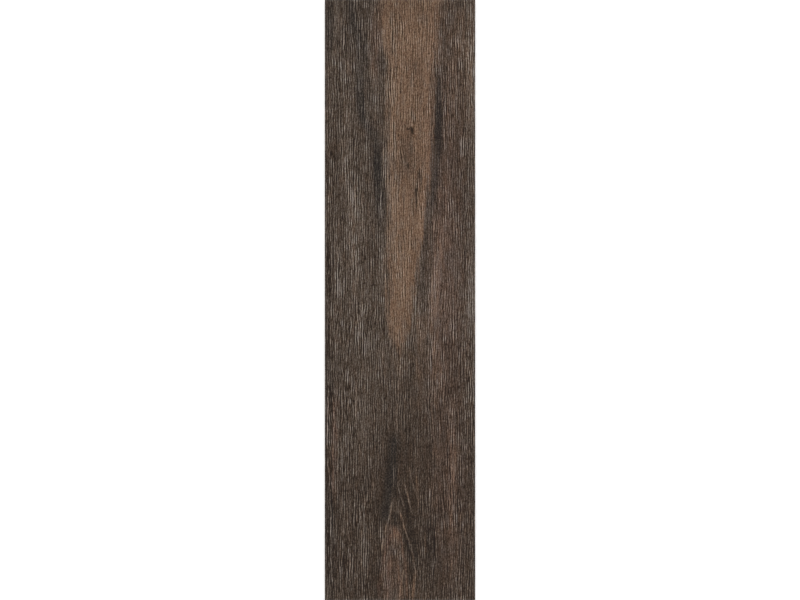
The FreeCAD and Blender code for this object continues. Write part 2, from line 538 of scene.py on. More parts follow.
@dataclass(frozen=True)
class Figure:
    """The large figure of the board: the pale heart, the rings beside it and the cathedral at the far end."""

    length: float = 600.0
    base_tones: tuple[Point, ...] = ((300, 60), (262, 66), (220, 66), (135, 65.5), (60, 67), (0, 69), (-45, 66), (-105, 62),
                                     (-200, 56), (-300, 57))
    heart_left: tuple[Point, ...] = ((300, -21), (275, -20), (258, -17), (240, -13), (222, -13), (200, -14), (150, -12.5), (110, -13),
                                     (15, -12), (-22, -12), (-38, -9), (-52, -2), (-66, 10), (-300, 60))
    heart_right: tuple[Point, ...] = ((300, 43), (275, 39), (255, 37), (237, 34.5), (215, 32), (185, 32.5), (140, 32),
                                      (112, 29.5), (87, 26), (62, 23), (37, 19.5), (12, 15), (-19, 12), (-36, 8),
                                      (-52, -1), (-66, -12), (-300, -60))
    heart_edge: float = 9.0
    heart_tip: Point = (-62.0, -18.0)
    heart_tone: float = 21.5
    line_reach: float = 75.0
    tone_reach: float = 128.0
    ring_depth: tuple[Point, ...] = ((300, 9), (110, 22), (32, 28), (-36, 32), (-120, 34), (-200, 32), (-250, 28),
                                     (-300, 22))
    ring_middle: tuple[Point, ...] = ((300, 13), (110, 10), (0, 2), (-120, -2), (-200, -6), (-300, 1))
    ring_pitch: float = 6.0
    ring_turn: float = 1.2
    ring_run: float = 420.0
    ring_tone: float = 9.0

    def curve(self, tree: Tree, along: Socket, points: tuple[Point, ...], reach: float) -> Socket:
        """Reads a line drawn along the board.

        Args:
            tree: The tree that the nodes go in.
            along: The place along the plank, from 0 at its near end to 1 at its far end.
            points: Places along the plank, in millimetres, and the value at each.
            reach: The largest value that the line may have.

        Returns:
            The value there.
        """
        read = add(tree, Kind.CURVE, (1.0, along))
        line = read.node.mapping.curves[0]
        spots = sorted((y / self.length + 0.5, value / reach / 2 + 0.5) for y, value in points)
        while len(line.points) < len(spots):
            line.points.new(0.5, 0.5)
        for point, spot in zip(line.points, spots):
            point.location = spot
        read.node.mapping.update()
        return add(tree, Kind.MATH, (read, 2 * reach, -reach), operation="MULTIPLY_ADD")

    def heart(self, tree: Tree, along: Socket, across: Socket) -> Socket:
        """The pale heart that runs down from one end to a point.

        Args:
            tree: The tree that the nodes go in.
            along: The place along the plank, from 0 to 1.
            across: The place across the plank, in millimetres.

        Returns:
            1 in the heart and 0 outside it, with soft edges.
        """
        edges = []
        for points, way in ((self.heart_left, 1.0), (self.heart_right, -1.0)):
            line = self.curve(tree, along, points, self.line_reach)
            inside = add(tree, Kind.MATH, (across, line), operation="SUBTRACT")
            reach = way * self.heart_edge / 2
            edges.append(add(tree, Kind.RANGE, {0: inside, 1: -reach, 2: reach, 3: 0.0, 4: 1.0},
                             interpolation_type="SMOOTHSTEP"))
        both = add(tree, Kind.MATH, tuple(edges), operation="MULTIPLY")
        start, full = (y / self.length + 0.5 for y in self.heart_tip)
        tip = add(tree, Kind.RANGE, {0: along, 1: start, 2: full, 3: 0.0, 4: 1.0}, interpolation_type="SMOOTHSTEP")
        return add(tree, Kind.MATH, (both, tip), operation="MULTIPLY")

    def rings(self, tree: Tree, along: Socket, across: Socket) -> Socket:
        """The yearly rings, which run along the board where they are steep and close over it in arches.

        Args:
            tree: The tree that the nodes go in.
            along: The place along the plank, from 0 to 1.
            across: The place across the plank, in millimetres.

        Returns:
            A tone to add, in steps of 255.
        """
        middle = self.curve(tree, along, self.ring_middle, self.line_reach)
        aside = add(tree, Kind.MATH, (across, middle), operation="SUBTRACT")
        depth = self.curve(tree, along, self.ring_depth, self.line_reach)
        spot = add(tree, Kind.JOIN_AXES, (aside, depth, 0.0))
        radius = add(tree, Kind.VECTOR, (spot,), operation="LENGTH").node.outputs["Value"]
        turn = add(tree, Kind.MATH, (aside, depth), operation="ARCTAN2")
        rings = add(tree, Kind.MATH, (radius, 1 / self.ring_pitch), operation="MULTIPLY")
        turned = add(tree, Kind.MATH, (turn, self.ring_turn), operation="MULTIPLY")
        run = add(tree, Kind.MATH, (along, self.length / self.ring_run), operation="MULTIPLY")
        where = add(tree, Kind.JOIN_AXES, (rings, turned, run))
        bands = add(tree, Kind.NOISE, {"Vector": where, "Scale": 1.0, "Detail": 2.0, "Roughness": 0.6},
                    noise_dimensions="3D")
        return add(tree, Kind.MATH, (bands, self.ring_tone, -self.ring_tone / 2), operation="MULTIPLY_ADD")

    def vein(self, tree: Tree, along: Socket, across: Socket, vein: Vein) -> Socket:
        """Draws one thin line.

        Args:
            tree: The tree that the nodes go in.
            along: The place along the plank, from 0 to 1.
            across: The place across the plank, in millimetres.
            vein: The line.

        Returns:
            1 on its middle line and 0 away from it.
        """
        line = self.curve(tree, along, vein.path, self.line_reach)
        off = add(tree, Kind.MATH, (across, line), operation="SUBTRACT")
        off = add(tree, Kind.MATH, (off,), operation="ABSOLUTE")
        mask = add(tree, Kind.RANGE, {0: off, 1: vein.half_width, 2: 0.0, 3: 0.0, 4: 1.0},
                   interpolation_type="SMOOTHSTEP")
        ends = [spot[0] / self.length + 0.5 for spot in vein.path]
        middle, half = (max(ends) + min(ends)) / 2, (max(ends) - min(ends)) / 2
        from_middle = add(tree, Kind.MATH, (along, middle), operation="SUBTRACT")
        from_middle = add(tree, Kind.MATH, (from_middle,), operation="ABSOLUTE")
        fade = add(tree, Kind.RANGE, {0: from_middle, 1: half, 2: half * vein.fade, 3: 0.0, 4: 1.0},
                   interpolation_type="SMOOTHSTEP")
        return add(tree, Kind.MATH, (mask, fade), operation="MULTIPLY")


@dataclass(frozen=True)
class Ink:
    """What the print lays down at each point, as three sums that the figure adds to.

    Attributes:
        tone: Its lightness, in steps of 255.
        warmth: How far it is turned towards the warm heart, or towards charcoal below 0.
        liming: How strong the fine lines are, about 1.
        blush: How far it is turned rosy.
    """

    tone: Union[Socket, float] = 0.0
    warmth: Union[Socket, float] = 0.0
    liming: Union[Socket, float] = 1.0
    blush: Union[Socket, float] = 0.0

    def plus(self, tree: Tree, mask: Socket, tone: float, warmth: float, liming: float = 0.0,
             blush: float = 0.0) -> "Ink":
        """Adds a masked change to each sum that it changes.

        Args:
            tree: The material's node tree.
            mask: Where the change shows, from 0 to 1.
            tone: The change of tone.
            warmth: The change of warmth.
            liming: The change of liming.
            blush: The change of blush.

        Returns:
            The ink with the change.
        """
        sums = []
        for so_far, change in ((self.tone, tone), (self.warmth, warmth), (self.liming, liming), (self.blush, blush)):
            sums.append(add(tree, Kind.MATH, (mask, change, so_far), operation="MULTIPLY_ADD") if change else so_far)
        return Ink(*sums)


@dataclass(frozen=True)
class PrintedGlaze:
    """Glazed porcelain with an inkjet wood print under a matt glaze.

    The ink is a dark, smoked and limed wood. The glaze is matt, so lamps give it a broad dull sheen and no mirror. It
    is a little smoother on the proud fibres than in the pores, and the mould's grain and the grit of the glaze roughen it.
    """

    name: str = "printed_matt_glaze"
    wood: tuple[str, ...] = ("#29221b", "#322922", "#3b312a", "#443931", "#4d433b", "#584e46", "#655a51", "#74695f",
                             "#847970", "#a1978e")
    heartwood: tuple[str, ...] = ("#342921", "#3e3128", "#48392e", "#544235", "#614c3e", "#6f5847", "#7e6654",
                                  "#8e7764", "#a99583")
    charcoal: tuple[str, ...] = ("#201d1a", "#2e2a27", "#3d3834", "#4a4540", "#5a544f", "#6f6863", "#87817c")
    blush: Triple = (0.05, -0.03, 0.0)
    brightest: float = 160.0
    veil: float = 0.0131
    roughness: float = 0.4
    roughness_change: float = 0.05
    glaze_ior: float = 1.45
    bump_depth: float = 0.02
    grit_share: float = 0.5
    pore_share: float = 1.0
    ragged: float = 2.0
    nudged: float = 0.12
    fine_mark: float = 2.6
    bundle_size: Point = (3.2, 60.0)
    bundle_tone: float = 5.0
    bundle_shove: float = 3.5
    clump_size: Point = (13.0, 60.0)
    clump_strength: float = 0.5
    streak_strength: float = 1.2
    fibre_tone: float = 43.5
    heart_fibre: float = -0.2
    heart_warmth: float = 0.92
    speckle_tone: float = 46.0
    tint_warmth: float = 0.4
    charcoal_fade: float = -0.5
    least_liming: float = 0.12
    lime_pitch: Point = (3.6, 34.0)
    lime_tone: float = 5.0
    pore_pitch: Point = (2.8, 14.0)
    pore_tone: float = -40.0
    grain: Grain = field(default_factory=Grain)
    figure: Figure = field(default_factory=Figure)

    def ramp(self, tree: Tree, tone: Socket, colours: tuple[str, ...]) -> Socket:
        """Turns a tone into the ink's colour.

        Args:
            tree: The material's node tree.
            tone: The tone, in steps of 255.
            colours: The ink's colours, each laid at its own grey.

        Returns:
            The linear colour.
        """
        share = add(tree, Kind.MATH, (tone, 1 / self.brightest), operation="MULTIPLY")
        mixed = add(tree, Kind.RAMP, (share,))
        stops = mixed.node.color_ramp.elements
        while len(stops) < len(colours):
            stops.new(0.5)
        for stop, colour in zip(stops, colours):
            stop.position = grey(colour) / self.brightest
            stop.color = linear(colour)
        return mixed

    def drawn(self, tree: Tree, nudged: Socket, ragged: Socket, along: Socket) -> Ink:
        """Draws the board's streaks, bands and veins.

        The upright streaks come first, because a renderer works out the leaning ones and the bent lines later, and
        would otherwise hold every mask until then.

        Args:
            tree: The material's node tree.
            nudged: The point on the face, moved a little by the fibres, in millimetres.
            ragged: The same point moved about much more, which breaks up the edges of wide marks.
            along: The place along the plank, from 0 to 1.

        Returns:
            The sums of all their changes.
        """
        ink = Ink()
        for streak in sorted(BOARD_STREAKS, key=lambda mark: (mark.lean != 0.0, mark.half_width, mark.half_length)):
            place = nudged if streak.half_width < self.fine_mark else ragged
            shape = (1 / streak.half_width, 1 / streak.half_length, 0.0)
            if streak.lean:
                local = add(tree, Kind.MAPPING, {
                    "Vector": place, "Location": (streak.x, streak.y, 0.0),
                    "Rotation": (0.0, 0.0, math.radians(streak.lean)),
                    "Scale": (streak.half_width, streak.half_length, 1.0)}, vector_type="TEXTURE")
                far = add(tree, Kind.VECTOR, (local,), operation="LENGTH").node.outputs["Value"]
            else:
                middle = (streak.x * shape[0], streak.y * shape[1], 0.0)
                local = add(tree, Kind.VECTOR, (place, shape), operation="MULTIPLY")
                far = add(tree, Kind.VECTOR, (local, middle), operation="DISTANCE").node.outputs["Value"]
            mask = add(tree, Kind.RANGE, {0: far, 1: 1.0, 2: 0.0, 3: 0.0, 4: 1.0}, interpolation_type="SMOOTHSTEP")
            ink = ink.plus(tree, mask, streak.tone * self.streak_strength, streak.warmth, streak.liming, streak.blush)
        for veins, place in ((BOARD_BANDS, ragged), (BOARD_VEINS, nudged)):
            across = add(tree, Kind.SPLIT_AXES, (place,))
            for vein in veins:
                mask = self.figure.vein(tree, along, across, vein)
                ink = ink.plus(tree, mask, vein.tone, vein.warmth, vein.liming, vein.blush)
        return ink

    def material(self) -> bpy.types.Material:
        """Builds the finish.

        Returns:
            The material.
        """
        made = bpy.data.materials.new(self.name)
        made.use_nodes = True
        tree = made.node_tree
        tree.nodes.clear()
        metres = add(tree, Kind.COORDINATE).node.outputs["Object"]
        place = add(tree, Kind.VECTOR, {0: metres, 3: 1 / MILLIMETRE}, operation="SCALE")
        flat = add(tree, Kind.VECTOR, (place, (1.0, 1.0, 0.0)), operation="MULTIPLY")
        straight = self.grain.warped(tree, flat)
        fibres = self.grain.fibres(tree, straight)
        bundles = self.grain.mottle(tree, straight, self.bundle_size)
        shove = add(tree, Kind.MATH, (fibres, self.ragged), operation="MULTIPLY")
        shove = add(tree, Kind.MATH, (bundles, self.bundle_shove, shove), operation="MULTIPLY_ADD")
        shove = add(tree, Kind.JOIN_AXES, (shove, 0.0, 0.0))
        ragged = add(tree, Kind.VECTOR, (flat, shove), operation="ADD")
        nudge = add(tree, Kind.VECTOR, {0: shove, 3: self.nudged}, operation="SCALE")
        nudged = add(tree, Kind.VECTOR, (flat, nudge), operation="ADD")
        across = add(tree, Kind.SPLIT_AXES, (ragged,))
        along = add(tree, Kind.MATH, (across.node.outputs[1], 1 / self.figure.length, 0.5), operation="MULTIPLY_ADD")
        heart = self.figure.heart(tree, along, across)
        ink = self.drawn(tree, nudged, ragged, along)
        ink = ink.plus(tree, heart, self.figure.heart_tone, self.heart_warmth, self.heart_fibre)
        outside = add(tree, Kind.MATH, (1.0, heart), operation="SUBTRACT")
        lime = self.grain.pores(tree, straight, self.lime_pitch, (0.0, 0.0))
        lime = add(tree, Kind.MATH, (lime, outside), operation="MULTIPLY")
        pore = self.grain.pores(tree, straight, self.pore_pitch, (31.4, 17.7))
        fine = add(tree, Kind.MATH, (fibres, self.fibre_tone), operation="MULTIPLY")
        fine = add(tree, Kind.MATH, (lime, self.lime_tone, fine), operation="MULTIPLY_ADD")
        fine = add(tree, Kind.MATH, (pore, self.pore_tone, fine), operation="MULTIPLY_ADD")
        cold = add(tree, Kind.MATH, (ink.warmth, -1.0), operation="MULTIPLY", use_clamp=True)
        liming = add(tree, Kind.MATH, (cold, self.charcoal_fade, ink.liming), operation="MULTIPLY_ADD")
        clumps = self.grain.mottle(tree, straight, self.clump_size)
        liming = add(tree, Kind.MATH, (clumps, self.clump_strength, liming), operation="MULTIPLY_ADD")
        liming = add(tree, Kind.MATH, (liming, self.least_liming), operation="MAXIMUM")
        tone = add(tree, Kind.MATH, (fine, liming, ink.tone), operation="MULTIPLY_ADD")
        base = self.figure.curve(tree, along, self.figure.base_tones, self.figure.tone_reach)
        tone = add(tree, Kind.MATH, (tone, base), operation="ADD")
        tone = add(tree, Kind.MATH, (tone, self.figure.rings(tree, along, across)), operation="ADD")
        dots = self.grain.speckle(tree, flat)
        tone = add(tree, Kind.MATH, (dots, self.speckle_tone, tone), operation="MULTIPLY_ADD")
        tone = add(tree, Kind.MATH, (bundles, self.bundle_tone, tone), operation="MULTIPLY_ADD")
        tint = self.grain.mottle(tree, straight, self.grain.tint_size)
        warmth = add(tree, Kind.MATH, (tint, self.tint_warmth, ink.warmth), operation="MULTIPLY_ADD", use_clamp=True)
        wood = self.ramp(tree, tone, self.wood)
        heartwood = self.ramp(tree, tone, self.heartwood)
        charcoal = self.ramp(tree, tone, self.charcoal)
        colour = add(tree, Kind.MIX, {0: warmth, 6: wood, 7: heartwood}, data_type="RGBA").node.outputs[2]
        colour = add(tree, Kind.MIX, {0: cold, 6: colour, 7: charcoal}, data_type="RGBA").node.outputs[2]
        rosy = add(tree, Kind.VECTOR, (colour, self.blush), operation="MULTIPLY")
        rosy = add(tree, Kind.VECTOR, {0: rosy, 3: ink.blush}, operation="SCALE")
        colour = add(tree, Kind.VECTOR, (colour, rosy), operation="ADD")
        ink_only = add(tree, Kind.VECTOR, (colour, (self.veil,) * 3), operation="SUBTRACT")
        ink_only = add(tree, Kind.VECTOR, (ink_only, (0.0, 0.0, 0.0)), operation="MAXIMUM")
        sheen = add(tree, Kind.MATH, (fibres, -self.roughness_change, self.roughness), operation="MULTIPLY_ADD")
        sheen = add(tree, Kind.MATH, (dots, self.roughness_change, sheen), operation="MULTIPLY_ADD")
        height = add(tree, Kind.MATH, (dots, self.grit_share, fibres), operation="MULTIPLY_ADD")
        height = add(tree, Kind.MATH, (pore, -self.pore_share, height), operation="MULTIPLY_ADD")
        bump = add(tree, Kind.BUMP, {"Height": height, "Distance": self.bump_depth * MILLIMETRE, "Strength": 1.0})
        surface = add(tree, Kind.SURFACE, {"Base Color": ink_only, "Roughness": sheen, "IOR": self.glaze_ior,
                                           "Normal": bump})
        add(tree, Kind.OUTPUT, (surface,))
        return made


@dataclass(frozen=True)
class FiredBody:
    """Pressed and fired porcelain stoneware, bare on the ground edges and on the keyed back.

    The body is coloured through and vitrified, so it is dense, dull and finely speckled. Grinding leaves fine lines
    that run round the edges, and the ribs of the back keep patches of the pale wash that the kiln's rollers leave.
    """

    name: str = "bare_fired_porcelain"
    clay: str = "#6d6259"
    dark_grain: str = "#4d443d"
    pale_grain: str = "#8b8177"
    wash: str = "#aaa298"
    grain_size: float = 0.9
    wash_height: float = 0.15
    wash_patch: float = 16.0
    wash_strength: float = 0.65
    stroke: Point = (9.0, 0.5)
    bump_depth: float = 0.05
    roughness: float = 0.8
    washed_roughness: float = 0.95
    body_ior: float = 1.5

    def material(self) -> bpy.types.Material:
        """Builds the finish.

        Returns:
            The material.
        """
        made = bpy.data.materials.new(self.name)
        made.use_nodes = True
        tree = made.node_tree
        tree.nodes.clear()
        metres = add(tree, Kind.COORDINATE).node.outputs["Object"]
        place = add(tree, Kind.VECTOR, {0: metres, 3: 1 / MILLIMETRE}, operation="SCALE")
        speckle = add(tree, Kind.NOISE, {"Vector": place, "Scale": 1 / self.grain_size, "Detail": 2.0})
        mixed = add(tree, Kind.RAMP, (speckle,))
        stops = mixed.node.color_ramp.elements
        stops.new(0.5)
        for stop, (spot, colour) in zip(stops, ((0.34, self.dark_grain), (0.5, self.clay), (0.68, self.pale_grain))):
            stop.position = spot
            stop.color = linear(colour)
        height = add(tree, Kind.SPLIT_AXES, (place,)).node.outputs[2]
        low = add(tree, Kind.RANGE, {0: height, 1: self.wash_height, 2: 0.0, 3: 0.0, 4: self.wash_strength})
        patches = add(tree, Kind.NOISE, {"Vector": place, "Scale": 1 / self.wash_patch, "Detail": 4.0})
        patches = add(tree, Kind.RANGE, {0: patches, 1: 0.36, 2: 0.62, 3: 0.0, 4: 1.0})
        washed = add(tree, Kind.MATH, (low, patches), operation="MULTIPLY")
        colour = add(tree, Kind.MIX, {0: washed, 6: mixed, 7: linear(self.wash)}, data_type="RGBA").node.outputs[2]
        dull = add(tree, Kind.RANGE, {0: washed, 1: 0.0, 2: 1.0, 3: self.roughness, 4: self.washed_roughness})
        around, across = (1 / size for size in self.stroke)
        stretched = add(tree, Kind.VECTOR, (place, (around, around, across)), operation="MULTIPLY")
        strokes = add(tree, Kind.NOISE, {"Vector": stretched, "Scale": 1.0, "Detail": 1.0})
        rise = add(tree, Kind.MATH, (strokes, speckle), operation="ADD")
        bump = add(tree, Kind.BUMP, {"Height": rise, "Distance": self.bump_depth * MILLIMETRE, "Strength": 1.0})
        surface = add(tree, Kind.SURFACE, {"Base Color": colour, "Roughness": dull, "IOR": self.body_ior,
                                           "Normal": bump})
        add(tree, Kind.OUTPUT, (surface,))
        return made


@dataclass(frozen=True)
class BakeLayout:
    """Where each side of the plank lies on the map that its finish is baked in.

    Attributes:
        scale: How much of the map a millimetre of the wood face takes.
        margin: What stays free at the map's border.
        gap: What stays free between two halves of the wood face.
        back_left: Where the back starts across the map.
        back_size: How much of the map the back takes, across and along.
        edge_scale: How much of the map's width a millimetre along a long edge takes.
        edge_rows: How far up the two long edges and the row of short edges start.
        edge_height: How much of the map an edge takes upwards.
        pocket_share: How large the pockets' floors are laid, which leaves their walls a width.
    """

    scale: float = 0.00285
    margin: float = 0.002
    gap: float = 0.008
    back_left: float = 0.875
    back_size: Point = (0.122, 0.985)
    edge_scale: float = 0.00143
    edge_rows: Triple = (0.872, 0.908, 0.945)
    edge_height: float = 0.02
    pocket_share: float = 0.92


@dataclass
class WoodLookPlank:
    """The whole plank: the moulded wood face, the ground edges and the keyed back, as one closed mesh."""

    name: str = "wood_look_plank"
    face_bevel: float = 0.6
    back_bevel: float = 0.4
    back_margin: float = 10.0
    rib_width: float = 4.5
    pocket_depth: float = 0.5
    pocket_corner: float = 4.0
    pockets_across: int = 5
    pockets_along: int = 22
    corner_steps: int = 4
    columns: int = 298
    rows: int = 230
    pore_depth: float = 0.06
    fibre_depth: float = 0.12
    calm_border: float = 1.2
    glaze: PrintedGlaze = field(default_factory=PrintedGlaze)
    fired: FiredBody = field(default_factory=FiredBody)
    layout: BakeLayout = field(default_factory=BakeLayout)
    low: Vector = field(default_factory=lambda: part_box(CAD_NODE)[0])
    high: Vector = field(default_factory=lambda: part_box(CAD_NODE)[1])

    def relief(self, tree: Tree) -> Socket:
        """How deep the mould presses each point of the wood face.

        Args:
            tree: The geometry tree that the nodes go in.

        Returns:
            The offset of each point, in metres, straight down.
        """
        position = add(tree, Kind.POSITION)
        place = add(tree, Kind.VECTOR, {0: position, 3: 1 / MILLIMETRE}, operation="SCALE")
        flat = add(tree, Kind.VECTOR, (place, (1.0, 1.0, 0.0)), operation="MULTIPLY")
        grain = self.glaze.grain
        straight = grain.warped(tree, flat)
        low = add(tree, Kind.RANGE, {0: grain.fibres(tree, straight), 1: 0.4, 2: -0.6, 3: 0.0, 4: -self.fibre_depth})
        pores = grain.pores(tree, straight, self.glaze.lime_pitch, (0.0, 0.0))
        down = add(tree, Kind.MATH, (pores, -self.pore_depth, low), operation="MULTIPLY_ADD")
        axes = add(tree, Kind.SPLIT_AXES, (flat,)).node
        for axis, half in ((0, self.high.x), (1, self.high.y)):
            share = add(tree, Kind.MATH, (axes.outputs[axis],), operation="ABSOLUTE")
            border = half / MILLIMETRE - self.face_bevel
            inside = add(tree, Kind.RANGE, {0: share, 1: border, 2: border - self.calm_border, 3: 0.0, 4: 1.0},
                         interpolation_type="SMOOTHSTEP")
            down = add(tree, Kind.MATH, (down, inside), operation="MULTIPLY")
        depth = add(tree, Kind.MATH, (down, MILLIMETRE), operation="MULTIPLY")
        return add(tree, Kind.JOIN_AXES, (0.0, 0.0, depth))

    def grow_edge(self, tree: Tree, mesh: Socket, edge: Socket, height: Socket, inset: float) -> tuple[Socket, Socket]:
        """Adds one band of faces below the open edge of the mesh.

        Args:
            tree: The geometry tree that the nodes go in.
            mesh: The mesh so far.
            edge: Picks its open edge.
            height: Where the new edge lies, in metres.
            inset: How far the new edge stays inside the plank's outline, in millimetres.

        Returns:
            The new mesh, and what picks its new open edge.
        """
        half_width, half_length = self.high.x, self.high.y
        grown = add(tree, "GeometryNodeExtrudeMesh", {"Mesh": mesh, "Selection": edge, "Offset Scale": 0.0},
                    mode="EDGES").node
        position = add(tree, Kind.POSITION)
        axes = add(tree, Kind.SPLIT_AXES, (position,)).node
        sides = []
        for axis, half in ((0, half_width), (1, half_length)):
            sign = add(tree, Kind.MATH, (axes.outputs[axis],), operation="SIGN")
            share = add(tree, Kind.MATH, (axes.outputs[axis],), operation="ABSOLUTE")
            outer = add(tree, Kind.MATH, (share, half - 1.01 * self.face_bevel * MILLIMETRE), operation="GREATER_THAN")
            wanted = half - inset * MILLIMETRE
            kept = add(tree, Kind.MATH, (share, wanted), operation="MINIMUM")
            at = add(tree, Kind.MIX, {0: outer, 2: kept, 3: wanted}, data_type="FLOAT")
            sides.append(add(tree, Kind.MATH, (at, sign), operation="MULTIPLY"))
        spot = add(tree, Kind.JOIN_AXES, (*sides, height))
        moved = add(tree, "GeometryNodeSetPosition", {
            "Geometry": grown.outputs["Mesh"], "Selection": grown.outputs["Top"], "Position": spot})
        return moved, grown.outputs["Top"]

    def keyed_back(self, tree: Tree, outline: Socket) -> Socket:
        """The back: a flat margin and ribs round a grid of shallow pockets.

        Args:
            tree: The geometry tree that the nodes go in.
            outline: The curve round the back.

        Returns:
            The back's faces.
        """
        rib = self.rib_width * MILLIMETRE
        pitch_x, pitch_y = (pitch * MILLIMETRE for pitch in self.pocket_pitch())
        spots = add(tree, "GeometryNodeMeshGrid", (pitch_x * (self.pockets_across - 1), pitch_y * (self.pockets_along - 1),
                                                   self.pockets_across, self.pockets_along))
        outline_of_one = add(tree, "GeometryNodeCurvePrimitiveQuadrilateral", (pitch_x - rib, pitch_y - rib),
                             mode="RECTANGLE")
        rounded = add(tree, "GeometryNodeFilletCurve", {
            "Curve": outline_of_one, "Count": self.corner_steps, "Radius": self.pocket_corner * MILLIMETRE}, mode="POLY")
        placed = add(tree, "GeometryNodeInstanceOnPoints", {"Points": spots, "Instance": rounded})
        rims = add(tree, "GeometryNodeRealizeInstances", (placed,))
        both = add(tree, "GeometryNodeJoinGeometry", (outline,))
        tree.links.new(rims, both.node.inputs[0])
        ribs = add(tree, "GeometryNodeFillCurve", {"Curve": both}, mode="TRIANGLES")
        ribs = add(tree, "GeometryNodeFlipFaces", (ribs,))
        wires = add(tree, "GeometryNodeCurveToMesh", (rims,))
        deep = self.pocket_depth * MILLIMETRE
        rise = add(tree, Kind.JOIN_AXES, (0.0, 0.0, deep))
        walls = add(tree, "GeometryNodeExtrudeMesh", {"Mesh": wires, "Offset": rise, "Offset Scale": 1.0}, mode="EDGES")
        floors = add(tree, "GeometryNodeFillCurve", {"Curve": rims}, mode="NGONS")
        floors = add(tree, "GeometryNodeFlipFaces", (floors,))
        floors = add(tree, "GeometryNodeTransform", {"Geometry": floors, "Translation": (0.0, 0.0, deep)})
        back = add(tree, "GeometryNodeJoinGeometry", (ribs,))
        for part in (walls, floors):
            tree.links.new(part, back.node.inputs[0])
        return back

    def tree(self) -> tuple[bpy.types.NodeTree, dict[str, str]]:
        """Builds the geometry tree of the plank.

        Returns:
            The tree, and the identifier of each named input.
        """
        made = bpy.data.node_groups.new(self.name, "GeometryNodeTree")
        made.is_modifier = True
        made.interface.new_socket("Geometry", in_out="INPUT", socket_type="NodeSocketGeometry")
        made.interface.new_socket("Geometry", in_out="OUTPUT", socket_type="NodeSocketGeometry")
        keys = {}
        for label in ("Width", "Length", "Thickness", "Face bevel"):
            keys[label] = made.interface.new_socket(label, in_out="INPUT", socket_type="NodeSocketFloat").identifier
        given = made.nodes.new("NodeGroupInput")
        bevel = given.outputs["Face bevel"]
        sizes = [add(made, Kind.MATH, (bevel, -2.0, given.outputs[name]), operation="MULTIPLY_ADD")
                 for name in ("Width", "Length")]
        grid = add(made, "GeometryNodeMeshGrid", (*sizes, self.columns + 1, self.rows + 1))
        lift = add(made, Kind.JOIN_AXES, (0.0, 0.0, given.outputs["Thickness"]))
        grid = add(made, "GeometryNodeTransform", {"Geometry": grid, "Translation": lift})
        grid = add(made, "GeometryNodeSetPosition", {"Geometry": grid, "Offset": self.relief(made)})
        grid = add(made, "GeometryNodeSetShadeSmooth", {"Geometry": grid, "Shade Smooth": True}, domain="FACE")
        neighbours = add(made, "GeometryNodeInputMeshEdgeNeighbors")
        edge = add(made, "FunctionNodeCompare", {2: neighbours, 3: 1}, data_type="INT", operation="EQUAL")
        top = add(made, Kind.MATH, (given.outputs["Thickness"], bevel), operation="SUBTRACT")
        mesh, edge = self.grow_edge(made, grid, edge, top, 0.0)
        new_faces = mesh
        mesh, edge = self.grow_edge(made, new_faces, edge, self.back_bevel * MILLIMETRE, 0.0)
        mesh, edge = self.grow_edge(made, mesh, edge, 0.0, self.back_bevel)
        outline = add(made, "GeometryNodeMeshToCurve", {"Mesh": mesh, "Selection": edge})
        back = self.keyed_back(made, outline)
        whole = add(made, "GeometryNodeJoinGeometry", (mesh,))
        made.links.new(back, whole.node.inputs[0])
        whole = add(made, "GeometryNodeMergeByDistance", {"Geometry": whole, "Distance": 0.00001})
        height = add(made, Kind.SPLIT_AXES, (add(made, Kind.POSITION),)).node.outputs[2]
        middle = add(made, "FunctionNodeCompare", {
            "A": height, "B": self.high.z - self.face_bevel * MILLIMETRE * 0.9}, operation="GREATER_THAN")
        rough = add(made, "FunctionNodeCompare", {
            "A": height, "B": self.high.z - self.face_bevel * MILLIMETRE * 0.7}, operation="LESS_THAN")
        whole = add(made, "GeometryNodeSetShadeSmooth", {"Geometry": whole, "Selection": rough, "Shade Smooth": False},
                    domain="FACE")
        whole = add(made, "GeometryNodeRealizeInstances", (whole,))
        whole = add(made, "GeometryNodeSetMaterial", {"Geometry": whole, "Material": self.fired.material()})
        whole = add(made, "GeometryNodeSetMaterial", {
            "Geometry": whole, "Selection": middle, "Material": self.glaze.material()})
        out = made.nodes.new("NodeGroupOutput")
        made.links.new(whole, out.inputs[0])
        return made, keys

    def pocket_pitch(self) -> Point:
        """From one pocket of the back to the next, across and along, in millimetres."""
        return tuple((2 * half / MILLIMETRE - 2 * self.back_margin + self.rib_width) / count
                     for half, count in ((self.high.x, self.pockets_across), (self.high.y, self.pockets_along)))

